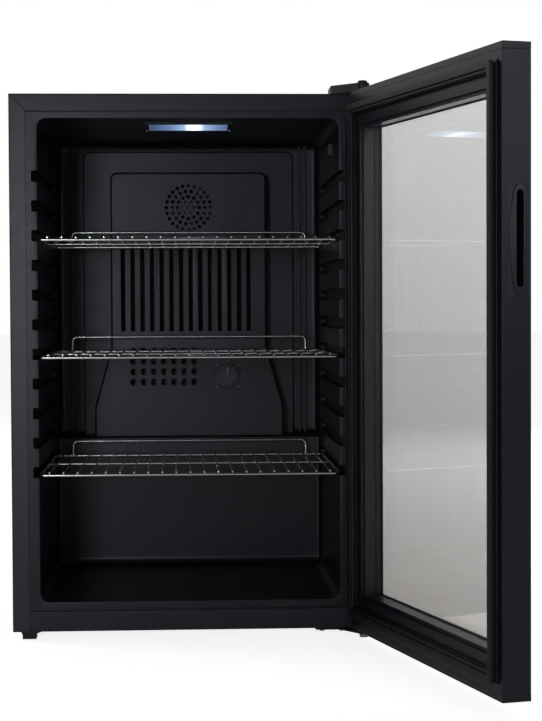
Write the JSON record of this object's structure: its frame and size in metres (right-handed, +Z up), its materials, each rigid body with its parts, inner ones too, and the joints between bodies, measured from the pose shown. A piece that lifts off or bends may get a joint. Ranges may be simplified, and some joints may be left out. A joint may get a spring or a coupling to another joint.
{
  "type": "mini fridge",
  "caption": "Under-counter drinks fridge with a glazed swing door standing open, sliding wire shelves, a lamp, a fan cover and a rear condenser.",
  "frame": {"origin": "on the floor, under the middle of the cabinet's footprint", "axes": "+Z up, -Y out of the front of the cabinet, +X towards the hinge side (the right, seen from the front); the door stands open"},
  "size_m": [0.6866, 1.0769, 0.841],
  "materials": {
    "black_steel": "satin black powder coat with a fine texture",
    "black_sheet": "black painted sheet at the back",
    "zinc_steel": "zinc plated sheet",
    "liner": "black vacuum formed liner",
    "foam": "rigid polyurethane foam",
    "black_plastic": "black moulded plastic",
    "door_frame": "satin black extruded frame",
    "dark_rubber": "black rubber",
    "chrome_wire": "bright chrome plating",
    "bright_steel": "turned steel",
    "glass": "grey tinted glass",
    "spacer": "anodised spacer bar",
    "lamp_glow": "frosted lens over white light",
    "lamp_parts": "white circuit board with light diodes",
    "pale_plastic": "natural plastic",
    "grey_plastic": "dark grey plastic",
    "aluminium": "bare aluminium",
    "copper": "drawn copper pipe",
    "compressor_paint": "gloss black paint"
  },
  "bodies": {
    "cabinet": {"side_panel_left": "black_steel", "side_panel_right": "black_steel", "top_panel": "black_steel", "back_panel": "black_sheet", "base_plate": "zinc_steel", "front_bar": "black_steel", "inner_liner": "liner", "insulation_left": "foam", "insulation_right": "foam", "insulation_top": "foam", "insulation_floor": "foam", "insulation_back": "foam", "insulation_step_front": "foam", "insulation_step_top": "foam", "compartment_lining": "zinc_steel", "hinge_top_plate": "zinc_steel", "hinge_top_pin": "bright_steel", "hinge_cover": "black_plastic", "hinge_pin_cap": "black_plastic", "hinge_bottom_plate": "black_steel", "hinge_bottom_pin": "bright_steel", "cabinet_screws": "bright_steel", "feet_rear": "black_plastic", "lamp_housing": "black_plastic", "lamp_board": "lamp_parts", "lamp_lens": "lamp_glow", "switch_frame": "grey_plastic", "evaporator_cover": "liner", "evaporator_tube": "aluminium", "evaporator_fins": "aluminium", "fan_motor": "black_plastic", "thermostat": "pale_plastic", "compressor": "compressor_paint", "compressor_grommets": "dark_rubber", "relay_box": "pale_plastic", "filter_drier": "copper", "refrigerant_pipes": "copper", "condenser_tube": "black_sheet", "condenser_wires": "black_sheet", "condenser_clips": "black_plastic", "drip_tray": "black_plastic", "drain_tube": "pale_plastic", "cord_gland": "black_plastic"},
    "door": {"door_stile_handle": "door_frame", "door_stile_hinge": "door_frame", "door_rails": "door_frame", "door_caps": "black_plastic", "door_bushes": "pale_plastic", "glass_panes": "glass", "glass_spacer": "spacer", "gasket": "dark_rubber", "handle_cup": "black_plastic"},
    "shelf_upper": {"shelf_upper": "chrome_wire"},
    "shelf_middle": {"shelf_middle": "chrome_wire"},
    "shelf_lower": {"shelf_lower": "chrome_wire"},
    "fan": {"fan_blade": "grey_plastic"},
    "dial": {"temperature_dial": "grey_plastic"},
    "rocker": {"switch_rocker": "grey_plastic"},
    "foot_left": {"foot_front_left": "black_plastic"},
    "foot_right": {"foot_front_right": "black_plastic"}
  },
  "joints": [
    {"name": "door_hinge", "type": "hinge", "parent": "cabinet", "child": "door", "pos_m": [0.261, -0.294, 0.42], "axis": [0, 0, 1], "range_deg": [-104.7, 15.3]},
    {"name": "shelf_upper_slide", "type": "slide", "parent": "cabinet", "child": "shelf_upper", "axis": [0, -1, 0], "range_m": [0, 0.3]},
    {"name": "shelf_middle_slide", "type": "slide", "parent": "cabinet", "child": "shelf_middle", "axis": [0, -1, 0], "range_m": [0, 0.3]},
    {"name": "shelf_lower_slide", "type": "slide", "parent": "cabinet", "child": "shelf_lower", "axis": [0, -1, 0], "range_m": [0, 0.3]},
    {"name": "fan_spin", "type": "hinge", "parent": "cabinet", "child": "fan", "pos_m": [0, 0.152, 0.675], "axis": [0, -1, 0], "continuous": true},
    {"name": "dial_turn", "type": "hinge", "parent": "cabinet", "child": "dial", "pos_m": [0.066, 0.128, 0.383], "axis": [0, -1, 0], "range_deg": [-135, 135]},
    {"name": "rocker_press", "type": "hinge", "parent": "cabinet", "child": "rocker", "pos_m": [0.223, -0.125, 0.751], "axis": [0, 0, 1], "range_deg": [-12, 0]},
    {"name": "foot_left_screw", "type": "hinge", "parent": "cabinet", "child": "foot_left", "pos_m": [-0.25, -0.221, 0.006], "axis": [0, 0, 1], "continuous": true},
    {"name": "foot_right_screw", "type": "hinge", "parent": "cabinet", "child": "foot_right", "pos_m": [0.25, -0.221, 0.006], "axis": [0, 0, 1], "continuous": true}
  ]
}
